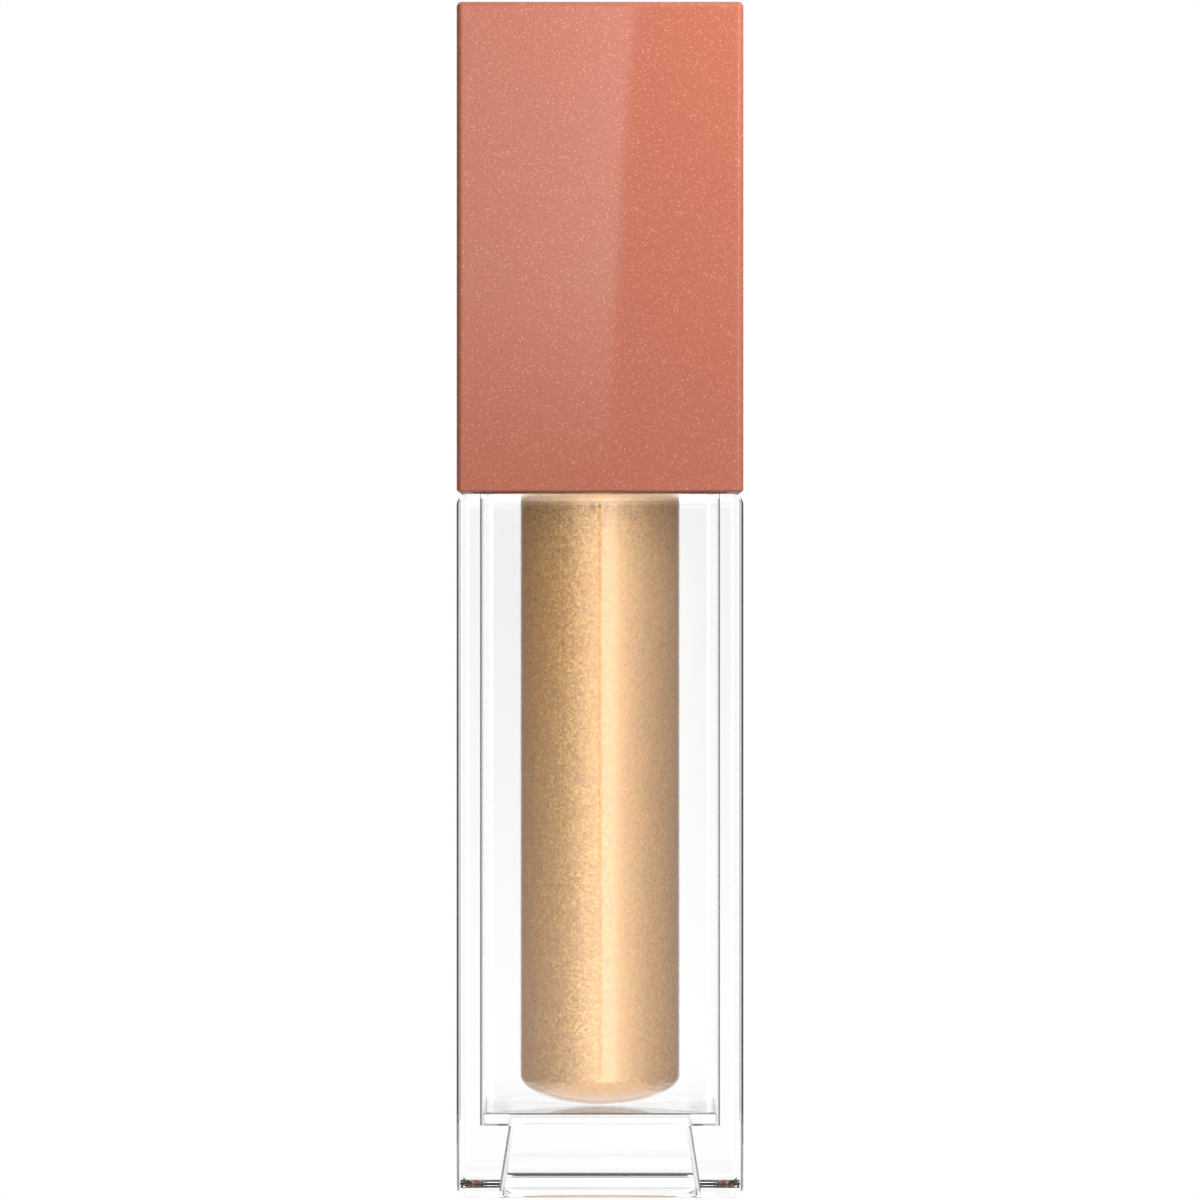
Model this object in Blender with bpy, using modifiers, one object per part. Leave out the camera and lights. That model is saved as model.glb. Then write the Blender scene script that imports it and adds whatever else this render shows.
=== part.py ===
"""Square lip gloss tube: clear double-walled bottle, round inner vial, screw cap with applicator wand.

Lengths are in millimetres here and become metres in to_metres(). The bottle stands on z = 0 with
its axis on Z. Every height is worked out from the driving sizes below, from the base upwards.
"""

import math

import bmesh
import bpy
from mathutils import Vector

# Driving sizes
WIDTH = 21.0
BOTTLE_HEIGHT = 51.6
CAP_HEIGHT = 35.9
FIT_GAP = 0.1
CAP_SEAM = 0.1

# Outer sleeve: square clear tube
SLEEVE_WALL = 1.7
SLEEVE_UPRIGHT_RADIUS = 0.5
SLEEVE_RIM_RADIUS = 0.85
SLEEVE_INNER_RADIUS = 0.45
LEDGE_TOP = 5.25
LEDGE_REACH = 2.1
LEDGE_REACH_AT_FOOT = 1.2

# Base plug: square plate on two feet, which stand on the ledges inside the sleeve
PLUG_PLATE = 0.35
PLUG_FOOT = 0.45
PLUG_EDGE = 0.1

# Inner vial: round bottle with a square shoulder plate and a threaded neck
VIAL_RADIUS = 5.95
VIAL_WALL = 0.8
VIAL_FLOOR = 0.4
VIAL_END_DEPTH = 2.2
SHOULDER_PLATE = 0.5
NECK_WALL = 1.17
NECK_HEIGHT = 11.4
NECK_BEAD_STEP = 0.8
NECK_BEAD_HEIGHT = 0.8
THREAD_PITCH = 2.6
THREAD_TURNS = 1.8
THREAD_BEAD = 0.5
THREAD_CREST = 0.6
THREAD_START = 4.0

# Wiper: soft sleeve that strips the wand
WIPER_FLANGE = 0.8
WIPER_LENGTH = 8.6
WIPER_WALL = 0.8
ORIFICE_LIP = 0.9
FLANGE_SETBACK = 0.5

# Wand and applicator
STEM_RADIUS = 1.7
STEM_HEAD_STEP = 0.5
STEM_HEAD_LENGTH = 11.0
STEM_COLLAR_STEP = 0.8
STEM_COLLAR = 0.8
STEM_SOCKET_WALL = 0.7
STEM_SOCKET_DEPTH = 5.0
APPLICATOR_LENGTH = 15.5
APPLICATOR_HALF_WIDTH = 2.45
APPLICATOR_HALF_DEPTH = 1.75
FLOCK_WALL = 0.6
SHANK_OVERLAP = 1.5
BULLET_SHARE = 0.62
SLANT_ANGLE = math.radians(14)
SLANT_DEPTH_SHARE = 0.45
TIP_CLEARANCE = 2.6
FLOAT_CLEARANCE = 0.3

# Gloss
GLOSS_BELOW_WIPER = 0.6

# Seal and cap
SEAL_THICKNESS = 0.8
SEAL_OVERHANG = 0.3
CAP_WALL = 1.1
CAP_UPRIGHT_RADIUS = 0.45
CAP_TOP_RADIUS = 0.37
CAP_RIM_RADIUS = 0.22
CAP_INSIDE_RADIUS = 0.2
THREAD_CLEARANCE = 0.3
LINER_SETBACK = 0.9
LINER_WALL = 1.0
LINER_UPRIGHT_RADIUS = 0.3
LINER_EDGE = 0.2
LINER_WEB = 1.5
LINER_CORNER_POCKET = 8.0
SOCKET_WALL = 1.3
BOSS_WALL = 1.3
BOSS_LENGTH = 12.5

ROUND_STEPS = 64
CUT_PAST = 2.0

# Heights and radii that follow from the driving sizes
HALF = WIDTH / 2
SLEEVE_BORE = HALF - SLEEVE_WALL
LEDGE_GAP = SLEEVE_BORE - LEDGE_REACH
PLUG_BOTTOM = LEDGE_TOP + FIT_GAP
PLUG_TOP = PLUG_BOTTOM + PLUG_FOOT + PLUG_PLATE
VIAL_BOTTOM = PLUG_TOP + FIT_GAP
VIAL_BORE = VIAL_RADIUS - VIAL_WALL
VIAL_INSIDE_BOTTOM = VIAL_BOTTOM + VIAL_FLOOR
NECK_RADIUS = VIAL_BORE + NECK_WALL
NECK_BEAD_RADIUS = NECK_RADIUS + NECK_BEAD_STEP
SHOULDER_TOP = BOTTLE_HEIGHT - FIT_GAP
NECK_TOP = BOTTLE_HEIGHT + NECK_HEIGHT
CREST_RADIUS = NECK_RADIUS + THREAD_CREST
WIPER_RADIUS = VIAL_BORE - FIT_GAP
WIPER_FLANGE_RADIUS = NECK_RADIUS - FLANGE_SETBACK
WIPER_TOP = NECK_TOP + FIT_GAP + WIPER_FLANGE
WIPER_BOTTOM = NECK_TOP + FIT_GAP - WIPER_LENGTH
ORIFICE_RADIUS = APPLICATOR_HALF_WIDTH + FLOAT_CLEARANCE
SEAL_RADIUS = WIPER_FLANGE_RADIUS + SEAL_OVERHANG
SEAL_BOTTOM = WIPER_TOP + FIT_GAP
SEAL_TOP = SEAL_BOTTOM + SEAL_THICKNESS
WEB_BOTTOM = SEAL_TOP + FIT_GAP
WEB_TOP = WEB_BOTTOM + LINER_WEB
CAP_BOTTOM = BOTTLE_HEIGHT + CAP_SEAM
CAP_TOP = CAP_BOTTOM + CAP_HEIGHT
CAP_BORE = HALF - CAP_WALL
LINER_HALF = CAP_BORE - FIT_GAP
LINER_BOTTOM = CAP_BOTTOM + LINER_SETBACK
LINER_TOP = CAP_TOP - CAP_WALL - FIT_GAP
SOCKET_RADIUS = CREST_RADIUS + THREAD_CLEARANCE
TIP_BOTTOM = VIAL_INSIDE_BOTTOM + TIP_CLEARANCE
TIP_TOP = TIP_BOTTOM + APPLICATOR_LENGTH
STEM_BOTTOM = TIP_TOP + FIT_GAP
STEM_HEAD_RADIUS = STEM_RADIUS + STEM_HEAD_STEP
STEM_COLLAR_RADIUS = STEM_HEAD_RADIUS + STEM_COLLAR_STEP
STEM_SOCKET_RADIUS = STEM_RADIUS - STEM_SOCKET_WALL


def to_metres(millimetres):
    return millimetres / 1000


def new_collection(name):
    collection = bpy.data.collections.new(name)
    bpy.context.scene.collection.children.link(collection)
    return collection


def finish_material(name, colour, roughness, metallic=0.0, transmission=0.0):
    material = bpy.data.materials.new(name)
    material.use_nodes = True
    shader = material.node_tree.nodes["Principled BSDF"]
    shader.inputs["Base Color"].default_value = (*colour, 1.0)
    shader.inputs["Roughness"].default_value = roughness
    shader.inputs["Metallic"].default_value = metallic
    shader.inputs["Transmission Weight"].default_value = transmission
    return material


def add_object(name, mesh, material=None):
    """Link a part with its material, or a hidden cutter where no material is given."""
    shape = bpy.data.objects.new(name, mesh)
    if material is None:
        cutters.objects.link(shape)
        shape.hide_render = True
        shape.display_type = "WIRE"
    else:
        parts.objects.link(shape)
        mesh.materials.append(material)
    return shape


def boolean(target, other, operation):
    modifier = target.modifiers.new(f"{operation.lower()} {other.name}", "BOOLEAN")
    modifier.object = other
    modifier.operation = operation
    modifier.solver = "EXACT"


def box(
    name, half_top, half_bottom, bottom, top, radii=(0.0, 0.0, 0.0), material=None, half_deep=None
):
    """A box about Z, square unless given half_deep along Y. radii round its upright, top and
    bottom edges; it may taper."""
    mesh = bpy.data.meshes.new(name)
    shell = bmesh.new()
    bmesh.ops.create_cube(shell, size=2.0)
    weight = shell.edges.layers.float.new("bevel_weight_edge")
    widest = max(radii)
    for edge in shell.edges:
        ends = {vertex.co.z > 0 for vertex in edge.verts}
        radius = radii[0] if len(ends) == 2 else radii[1] if ends == {True} else radii[2]
        edge[weight] = radius / widest if widest else 0.0
    for vertex in shell.verts:
        upper = vertex.co.z > 0
        half = half_top if upper else half_bottom
        vertex.co.x *= to_metres(half)
        vertex.co.y *= to_metres(half_deep or half)
        vertex.co.z = to_metres(top if upper else bottom)
    shell.to_mesh(mesh)
    shell.free()
    shape = add_object(name, mesh, material)
    if widest:
        bevel = shape.modifiers.new("rounded edges", "BEVEL")
        bevel.limit_method = "WEIGHT"
        bevel.width = to_metres(widest)
        bevel.segments = 5
    return shape


def turned(name, outline, closed=False, material=None):
    """A solid of revolution about Z. The outline runs down its outer side, in (radius, height)."""
    mesh = bpy.data.meshes.new(name)
    points = [(to_metres(radius), 0.0, to_metres(height)) for radius, height in outline]
    edges = [(index, index + 1) for index in range(len(points) - 1)]
    if closed:
        edges.append((len(points) - 1, 0))
    mesh.from_pydata(points, edges, [])
    shape = add_object(name, mesh, material)
    screw = shape.modifiers.new("turned", "SCREW")
    screw.steps = ROUND_STEPS
    screw.render_steps = ROUND_STEPS
    screw.use_merge_vertices = True
    screw.merge_threshold = 1e-6
    screw.use_smooth_shade = False
    return shape


def elliptic_end(radius, bottom, depth, segments=10):
    """Outline of a rounded closed end, from its side down to the axis."""
    angles = [math.pi / 2 * step / segments for step in range(segments + 1)]
    return [
        (radius * math.cos(angle) if step < segments else 0.0, bottom + depth * (1 - math.sin(angle)))
        for step, angle in enumerate(angles)
    ]


def cylinder(name, radius, bottom, top):
    return turned(name, [(0, top), (radius, top), (radius, bottom), (0, bottom)])


def helix_bead(name, radius, start, turns, bead):
    """A round bead wound about Z, as a closed mesh that a Boolean can use."""
    per_turn = 32
    curve = bpy.data.curves.new(name, "CURVE")
    curve.dimensions = "3D"
    curve.bevel_depth = to_metres(bead)
    curve.bevel_resolution = 2
    curve.use_fill_caps = True
    spline = curve.splines.new("POLY")
    count = round(per_turn * turns) + 1
    spline.points.add(count - 1)
    for index, point in enumerate(spline.points):
        angle = 2 * math.pi * index / per_turn
        height = start + THREAD_PITCH * index / per_turn
        place = Vector((radius * math.cos(angle), radius * math.sin(angle), height))
        point.co = (*(to_metres(value) for value in place), 1.0)
    wound = bpy.data.objects.new(name, curve)
    cutters.objects.link(wound)
    bpy.context.view_layer.update()
    graph = bpy.context.evaluated_depsgraph_get()
    mesh = bpy.data.meshes.new_from_object(wound.evaluated_get(graph))
    solid = bmesh.new()
    solid.from_mesh(mesh)
    bmesh.ops.remove_doubles(solid, verts=solid.verts, dist=1e-7)
    bmesh.ops.recalc_face_normals(solid, faces=solid.faces)
    solid.to_mesh(mesh)
    solid.free()
    bpy.data.objects.remove(wound)
    return add_object(f"{name} solid", mesh)


def build_outer_sleeve():
    radii = (SLEEVE_UPRIGHT_RADIUS, SLEEVE_RIM_RADIUS, SLEEVE_RIM_RADIUS)
    sleeve = box("outer_sleeve", HALF, HALF, 0, BOTTLE_HEIGHT, radii, clear_plastic)
    inner_radii = (SLEEVE_INNER_RADIUS, 0.0, 0.0)
    bore = box(
        "sleeve bore", SLEEVE_BORE, SLEEVE_BORE, LEDGE_TOP, BOTTLE_HEIGHT + CUT_PAST, inner_radii
    )
    boolean(sleeve, bore, "DIFFERENCE")
    slope = (LEDGE_REACH - LEDGE_REACH_AT_FOOT) / LEDGE_TOP
    foot_opening = box(
        "foot opening", LEDGE_GAP - slope * CUT_PAST, SLEEVE_BORE - LEDGE_REACH_AT_FOOT
        + slope * CUT_PAST, -CUT_PAST, LEDGE_TOP + CUT_PAST, inner_radii, half_deep=SLEEVE_BORE
    )
    boolean(sleeve, foot_opening, "DIFFERENCE")


def build_base_plug():
    half = SLEEVE_BORE - FIT_GAP
    radii = (SLEEVE_INNER_RADIUS, PLUG_EDGE, PLUG_EDGE)
    plug = box("base_plug", half, half, PLUG_BOTTOM, PLUG_TOP, radii, clear_plastic)
    between_feet = box(
        "between feet", LEDGE_GAP, LEDGE_GAP, PLUG_BOTTOM - CUT_PAST, PLUG_BOTTOM + PLUG_FOOT,
        half_deep=HALF
    )
    boolean(plug, between_feet, "DIFFERENCE")


def build_inner_vial():
    outline = [
        (0, NECK_TOP),
        (NECK_RADIUS, NECK_TOP),
        (NECK_RADIUS, SHOULDER_TOP + NECK_BEAD_HEIGHT),
        (NECK_BEAD_RADIUS, SHOULDER_TOP + NECK_BEAD_HEIGHT),
        (NECK_BEAD_RADIUS, SHOULDER_TOP - SHOULDER_PLATE / 2),
        (VIAL_RADIUS, SHOULDER_TOP - SHOULDER_PLATE / 2),
        *elliptic_end(VIAL_RADIUS, VIAL_BOTTOM, VIAL_END_DEPTH),
    ]
    vial = turned("inner_vial", outline, material=vial_plastic)
    half = SLEEVE_BORE - FIT_GAP
    plate_radii = (SLEEVE_INNER_RADIUS, 0.0, 0.0)
    plate = box(
        "shoulder plate", half, half, SHOULDER_TOP - SHOULDER_PLATE, SHOULDER_TOP, plate_radii
    )
    boolean(vial, plate, "UNION")
    bead_radius = CREST_RADIUS - THREAD_BEAD
    thread_bottom = BOTTLE_HEIGHT + THREAD_START
    thread = helix_bead("neck thread", bead_radius, thread_bottom, THREAD_TURNS, THREAD_BEAD)
    boolean(vial, thread, "UNION")
    inside = [
        (0, NECK_TOP + CUT_PAST),
        (VIAL_BORE, NECK_TOP + CUT_PAST),
        *elliptic_end(VIAL_BORE, VIAL_INSIDE_BOTTOM, VIAL_END_DEPTH - VIAL_FLOOR),
    ]
    boolean(vial, turned("vial bore", inside), "DIFFERENCE")


def build_gloss_fill():
    radius = VIAL_BORE - FIT_GAP
    well = APPLICATOR_HALF_WIDTH + FLOAT_CLEARANCE
    well_bottom = TIP_BOTTOM - FLOAT_CLEARANCE
    top = WIPER_BOTTOM - GLOSS_BELOW_WIPER
    bottom = VIAL_INSIDE_BOTTOM + FIT_GAP
    outline = [
        (0, well_bottom),
        (well, well_bottom),
        (well, top),
        (radius, top),
        *elliptic_end(radius, bottom, VIAL_END_DEPTH - VIAL_FLOOR),
    ]
    turned("gloss_fill", outline, material=gloss)


def build_wiper():
    inside = WIPER_RADIUS - WIPER_WALL
    lip_top = WIPER_BOTTOM + ORIFICE_LIP
    funnel = inside - ORIFICE_RADIUS
    outline = [
        (WIPER_FLANGE_RADIUS, WIPER_TOP),
        (WIPER_FLANGE_RADIUS, WIPER_TOP - WIPER_FLANGE),
        (WIPER_RADIUS, WIPER_TOP - WIPER_FLANGE),
        (WIPER_RADIUS, WIPER_BOTTOM + ORIFICE_LIP),
        (ORIFICE_RADIUS + WIPER_WALL, WIPER_BOTTOM),
        (ORIFICE_RADIUS, WIPER_BOTTOM),
        (ORIFICE_RADIUS, lip_top),
        (inside, lip_top + funnel),
        (inside, WIPER_TOP),
    ]
    turned("wiper", outline, closed=True, material=wiper_plastic)


def build_neck_seal():
    inner = STEM_RADIUS + FLOAT_CLEARANCE
    outline = [
        (SEAL_RADIUS, SEAL_TOP),
        (SEAL_RADIUS, SEAL_BOTTOM),
        (inner, SEAL_BOTTOM),
        (inner, SEAL_TOP),
    ]
    turned("neck_seal", outline, closed=True, material=seal_rubber)


def build_cap_shell():
    radii = (CAP_UPRIGHT_RADIUS, CAP_TOP_RADIUS, CAP_RIM_RADIUS)
    shell = box("cap_shell", HALF, HALF, CAP_BOTTOM, CAP_TOP, radii, cap_finish)
    ceiling = CAP_TOP - CAP_WALL
    inside_radii = (CAP_INSIDE_RADIUS, CAP_INSIDE_RADIUS, 0.0)
    inside = box("cap inside", CAP_BORE, CAP_BORE, CAP_BOTTOM - CUT_PAST, ceiling, inside_radii)
    boolean(shell, inside, "DIFFERENCE")


def build_inner_cap():
    """The liner: a threaded socket below a web, and above it a boss that grips the wand."""
    radii = (LINER_UPRIGHT_RADIUS, LINER_EDGE, LINER_EDGE)
    liner = box("inner_cap", LINER_HALF, LINER_HALF, LINER_BOTTOM, LINER_TOP, radii, liner_plastic)
    cavity_radii = (LINER_UPRIGHT_RADIUS, 0.0, 0.0)
    cavity_half = LINER_HALF - LINER_WALL

    upper = box(
        "liner upper cavity", cavity_half, cavity_half, WEB_TOP, LINER_TOP + CUT_PAST, cavity_radii
    )
    boss_radius = STEM_HEAD_RADIUS + FIT_GAP + BOSS_WALL
    boss = cylinder("wand boss", boss_radius, WEB_TOP - LINER_WEB / 2, WEB_TOP + BOSS_LENGTH)
    boolean(upper, boss, "DIFFERENCE")
    boolean(liner, upper, "DIFFERENCE")

    pocket_bottom = LINER_BOTTOM - CUT_PAST
    pocket_top = LINER_BOTTOM + LINER_CORNER_POCKET
    pockets = box(
        "corner pockets", cavity_half, cavity_half, pocket_bottom, pocket_top, cavity_radii
    )
    socket_outside = SOCKET_RADIUS + SOCKET_WALL
    core = cylinder("socket wall", socket_outside, LINER_BOTTOM - 2 * CUT_PAST, WEB_TOP)
    boolean(pockets, core, "DIFFERENCE")
    boolean(liner, pockets, "DIFFERENCE")

    head_bore = STEM_HEAD_RADIUS + FIT_GAP
    collar_bore = STEM_COLLAR_RADIUS + FIT_GAP
    collar_top = WEB_BOTTOM + STEM_COLLAR + FIT_GAP
    bore_outline = [
        (0, WEB_TOP + BOSS_LENGTH + CUT_PAST),
        (head_bore, WEB_TOP + BOSS_LENGTH + CUT_PAST),
        (head_bore, collar_top),
        (collar_bore, collar_top),
        (collar_bore, WEB_BOTTOM),
        (SOCKET_RADIUS, WEB_BOTTOM),
        (SOCKET_RADIUS, LINER_BOTTOM - CUT_PAST),
        (0, LINER_BOTTOM - CUT_PAST),
    ]
    boolean(liner, turned("liner bore", bore_outline), "DIFFERENCE")
    thread_bottom = BOTTLE_HEIGHT + THREAD_START
    groove = helix_bead("liner thread", SOCKET_RADIUS, thread_bottom, THREAD_TURNS, THREAD_BEAD)
    boolean(liner, groove, "DIFFERENCE")


def build_wand_stem():
    collar_top = WEB_BOTTOM + STEM_COLLAR
    head_top = WEB_BOTTOM + STEM_HEAD_LENGTH
    socket_top = STEM_BOTTOM + STEM_SOCKET_DEPTH
    outline = [
        (0, head_top),
        (STEM_HEAD_RADIUS, head_top),
        (STEM_HEAD_RADIUS, collar_top),
        (STEM_COLLAR_RADIUS, collar_top),
        (STEM_COLLAR_RADIUS, WEB_BOTTOM),
        (STEM_RADIUS, WEB_BOTTOM),
        (STEM_RADIUS, STEM_BOTTOM),
        (STEM_SOCKET_RADIUS, STEM_BOTTOM),
        (STEM_SOCKET_RADIUS, socket_top),
        (0, socket_top),
    ]
    turned("wand_stem", outline, material=wand_plastic)


def applicator_blank(name, grow, top, slant_height, material=None):
    """A flattened bullet with a slanted face on one side, the outline of a doe-foot tip."""
    half_length = APPLICATOR_LENGTH * BULLET_SHARE
    mesh = bpy.data.meshes.new(name)
    solid = bmesh.new()
    bmesh.ops.create_uvsphere(solid, u_segments=32, v_segments=24, radius=1.0)
    for vertex in solid.verts:
        vertex.co.x *= to_metres(APPLICATOR_HALF_WIDTH + grow)
        vertex.co.y *= to_metres(APPLICATOR_HALF_DEPTH + grow)
        vertex.co.z = to_metres(TIP_BOTTOM + half_length) + vertex.co.z * to_metres(half_length + grow)
    faces = solid.verts[:] + solid.edges[:] + solid.faces[:]
    cut = bmesh.ops.bisect_plane(
        solid, geom=faces, plane_co=(0, 0, to_metres(top)), plane_no=(0, 0, 1), clear_outer=True
    )
    rim = [item for item in cut["geom_cut"] if isinstance(item, bmesh.types.BMEdge)]
    bmesh.ops.edgeloop_fill(solid, edges=rim)
    faces = solid.verts[:] + solid.edges[:] + solid.faces[:]
    slant = Vector((0, -math.cos(SLANT_ANGLE), -math.sin(SLANT_ANGLE)))
    reach = to_metres(APPLICATOR_HALF_DEPTH * SLANT_DEPTH_SHARE + grow)
    place = Vector((0, 0, to_metres(TIP_BOTTOM + slant_height))) + slant * reach
    cut = bmesh.ops.bisect_plane(
        solid, geom=faces, plane_co=place, plane_no=slant, clear_outer=True
    )
    rim = [item for item in cut["geom_cut"] if isinstance(item, bmesh.types.BMEdge)]
    bmesh.ops.edgeloop_fill(solid, edges=rim)
    bmesh.ops.recalc_face_normals(solid, faces=solid.faces)
    solid.to_mesh(mesh)
    solid.free()
    return add_object(name, mesh, material)


def build_applicator():
    middle = APPLICATOR_LENGTH / 2
    flock = applicator_blank("applicator_flock", 0.0, TIP_TOP, middle, flock_finish)
    pocket = applicator_blank("flock pocket", -FLOCK_WALL, TIP_TOP + CUT_PAST, middle)
    boolean(flock, pocket, "DIFFERENCE")
    core = applicator_blank("applicator_core", -FLOCK_WALL - FIT_GAP, TIP_TOP, middle, wand_plastic)
    shank_radius = STEM_SOCKET_RADIUS - FIT_GAP
    shank_top = STEM_BOTTOM + STEM_SOCKET_DEPTH - FLOAT_CLEARANCE
    boolean(core, cylinder("core shank", shank_radius, TIP_TOP - SHANK_OVERLAP, shank_top), "UNION")


for leftover in list(bpy.data.objects):
    bpy.data.objects.remove(leftover)

parts = new_collection("lip_gloss_tube")
cutters = new_collection("cutters")

clear_plastic = finish_material("clear plastic", (0.96, 0.97, 0.97), 0.03, transmission=1.0)
vial_plastic = finish_material("vial plastic", (0.95, 0.95, 0.95), 0.04, transmission=1.0)
gloss = finish_material("gold gloss", (0.52, 0.27, 0.08), 0.25, metallic=0.4)
wiper_plastic = finish_material("wiper plastic", (0.85, 0.86, 0.86), 0.45)
seal_rubber = finish_material("seal rubber", (0.88, 0.88, 0.86), 0.6)
cap_finish = finish_material("rose gold cap", (0.60, 0.21, 0.15), 0.28, metallic=0.75)
liner_plastic = finish_material("liner plastic", (0.82, 0.80, 0.78), 0.5)
wand_plastic = finish_material("wand plastic", (0.86, 0.86, 0.85), 0.35)
flock_finish = finish_material("applicator flock", (0.80, 0.62, 0.48), 0.95)

build_outer_sleeve()
build_base_plug()
build_inner_vial()
build_gloss_fill()
build_wiper()
build_neck_seal()
build_cap_shell()
build_inner_cap()
build_wand_stem()
build_applicator()
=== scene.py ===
"""A square lip gloss tube: clear double-walled bottle, gold gloss in a round vial, rose-gold screw cap
and a wand with a flocked applicator. Lengths in metres, Z up, the bottle standing on z = 0."""

import math

import bmesh
import bpy
import numpy as np
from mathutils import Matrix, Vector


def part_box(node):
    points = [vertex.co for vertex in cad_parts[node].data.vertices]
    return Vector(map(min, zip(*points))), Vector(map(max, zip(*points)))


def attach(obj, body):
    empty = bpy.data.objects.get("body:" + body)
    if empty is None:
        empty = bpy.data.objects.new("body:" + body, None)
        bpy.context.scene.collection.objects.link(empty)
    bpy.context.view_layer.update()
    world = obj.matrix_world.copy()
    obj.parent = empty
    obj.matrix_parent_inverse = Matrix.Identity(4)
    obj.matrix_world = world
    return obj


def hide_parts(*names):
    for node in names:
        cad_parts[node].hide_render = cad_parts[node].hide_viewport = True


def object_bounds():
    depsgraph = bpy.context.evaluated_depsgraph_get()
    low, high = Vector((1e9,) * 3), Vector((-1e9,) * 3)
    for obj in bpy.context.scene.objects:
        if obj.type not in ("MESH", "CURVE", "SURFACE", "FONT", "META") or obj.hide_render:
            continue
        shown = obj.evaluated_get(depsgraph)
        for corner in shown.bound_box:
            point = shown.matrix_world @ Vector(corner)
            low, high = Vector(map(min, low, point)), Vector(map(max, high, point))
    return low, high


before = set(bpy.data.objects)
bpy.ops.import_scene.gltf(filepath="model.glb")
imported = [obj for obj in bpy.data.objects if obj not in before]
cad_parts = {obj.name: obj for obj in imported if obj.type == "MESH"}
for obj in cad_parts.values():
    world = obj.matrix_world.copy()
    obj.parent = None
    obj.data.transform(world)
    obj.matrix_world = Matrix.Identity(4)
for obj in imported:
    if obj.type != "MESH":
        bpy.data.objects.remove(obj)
cad_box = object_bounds()
MM = 0.001
# The gap between pieces that fit together, the rounding of small moulded edges, and the radius of
# the ring that ends a turned outline at the axis.
FIT_GAP = 0.1 * MM
SOFT_EDGE = 0.15 * MM
NEAR_AXIS = 0.01 * MM
# The most of a ring's half width that its corner radius takes, how near two points count as one,
# and the angle past which an edge is shaded sharp.
CORNER_SHARE = 0.9
SAME_POINT = 1e-7
SHARP_EDGE = math.radians(32)


# --- Outer sleeve -----------------------------------------------------------------------------
# A square tube moulded in clear plastic, open at both ends, with two drafted ledges inside its
# foot. Its long edges are nearly sharp, and its top and bottom rims are rounded over.

def rounded_square(half, corner, steps=12, deep=None):
    """Rings of x and y: four quarter circles of the corner radius, centred half - corner from
    the axis each way, joined by straight sides. half and corner are arrays, one value a ring.
    deep gives another half width along Y."""
    half = np.asarray(half, float)[:, None, None]
    deep = half if deep is None else np.asarray(deep, float)[:, None, None]
    corner = np.asarray(corner, float)[:, None, None]
    quarter = (np.arange(4) * math.pi / 2)[None, :, None]
    angle = quarter + np.linspace(0, math.pi / 2, steps + 1)[None, None, :]
    side_x = np.sign(np.cos(quarter + math.pi / 4))
    side_y = np.sign(np.sin(quarter + math.pi / 4))
    x = side_x * (half - corner) + corner * np.cos(angle)
    y = side_y * (deep - corner) + corner * np.sin(angle)
    return x.reshape(len(half), -1), y.reshape(len(half), -1)


def arc(centre_out, centre_up, radius, start, end, steps=8):
    """Points on a circle in the (outwards, up) plane, from the start to the end angle in degrees."""
    angle = np.radians(np.linspace(start, end, steps + 1))
    return np.stack([centre_out + radius * np.cos(angle), centre_up + radius * np.sin(angle)], 1)


def skin(name, x, y, z, material, body, nodes, ring_closed=True):
    """A mesh through a grid of rings: point (row, column) joins its neighbours in both ways.
    The columns always close. The rows close too, or else each end gets a flat cap."""
    rows, columns = x.shape
    z = np.broadcast_to(z, x.shape)
    points = np.stack([x, y, z], 2).reshape(-1, 3)
    last = rows if ring_closed else rows - 1
    row, column = np.meshgrid(np.arange(last), np.arange(columns), indexing="ij")
    above, beside = (row + 1) % rows, (column + 1) % columns
    quads = np.stack(
        [row * columns + column, row * columns + beside,
         above * columns + beside, above * columns + column], 2
    ).reshape(-1, 4)
    faces = quads.tolist()
    if not ring_closed:
        faces.append(list(range(columns))[::-1])
        faces.append(list(range((rows - 1) * columns, rows * columns)))
    mesh = bpy.data.meshes.new(name)
    mesh.from_pydata(points, [], faces)
    tidy = bmesh.new()
    tidy.from_mesh(mesh)
    bmesh.ops.remove_doubles(tidy, verts=tidy.verts, dist=SAME_POINT)
    bmesh.ops.recalc_face_normals(tidy, faces=tidy.faces)
    tidy.to_mesh(mesh)
    tidy.free()
    mesh.shade_smooth()
    mesh.set_sharp_from_angle(angle=SHARP_EDGE)
    mesh.materials.append(material)
    piece = bpy.data.objects.new(name, mesh)
    bpy.context.scene.collection.objects.link(piece)
    weighted = piece.modifiers.new("flat faces stay flat", "WEIGHTED_NORMAL")
    weighted.keep_sharp = True
    weighted.weight = 100
    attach(piece, body)
    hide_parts(*nodes)
    return piece


def new_material(name):
    """An empty node material: returns it with its nodes, links and Principled shader."""
    material = bpy.data.materials.new(name)
    material.use_nodes = True
    nodes = material.node_tree.nodes
    return material, nodes, material.node_tree.links, nodes["Principled BSDF"]


def clear_plastic(name, refraction):
    """Clear moulded plastic with polished faces, given its index of refraction."""
    material, _, _, shader = new_material(name)
    shader.inputs["Base Color"].default_value = (1.0, 1.0, 1.0, 1.0)
    shader.inputs["Roughness"].default_value = 0.0
    shader.inputs["IOR"].default_value = refraction
    shader.inputs["Transmission Weight"].default_value = 1.0
    return material


def corners(node):
    """The lowest and the highest corner of a CAD piece's box."""
    return [np.array(corner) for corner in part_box(node)]


_, sleeve_high = corners("outer_sleeve")
half_width = sleeve_high[0]
bottle_top = sleeve_high[2]
SLEEVE_WALL = 1.7 * MM
SLEEVE_UPRIGHT = 0.5 * MM
SLEEVE_RIM = 0.85 * MM
SLEEVE_LIP = 0.12 * MM
SLEEVE_LEAST_CORNER = 0.06 * MM
SLEEVE_INDEX = 1.57
bore_half = half_width - SLEEVE_WALL

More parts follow.
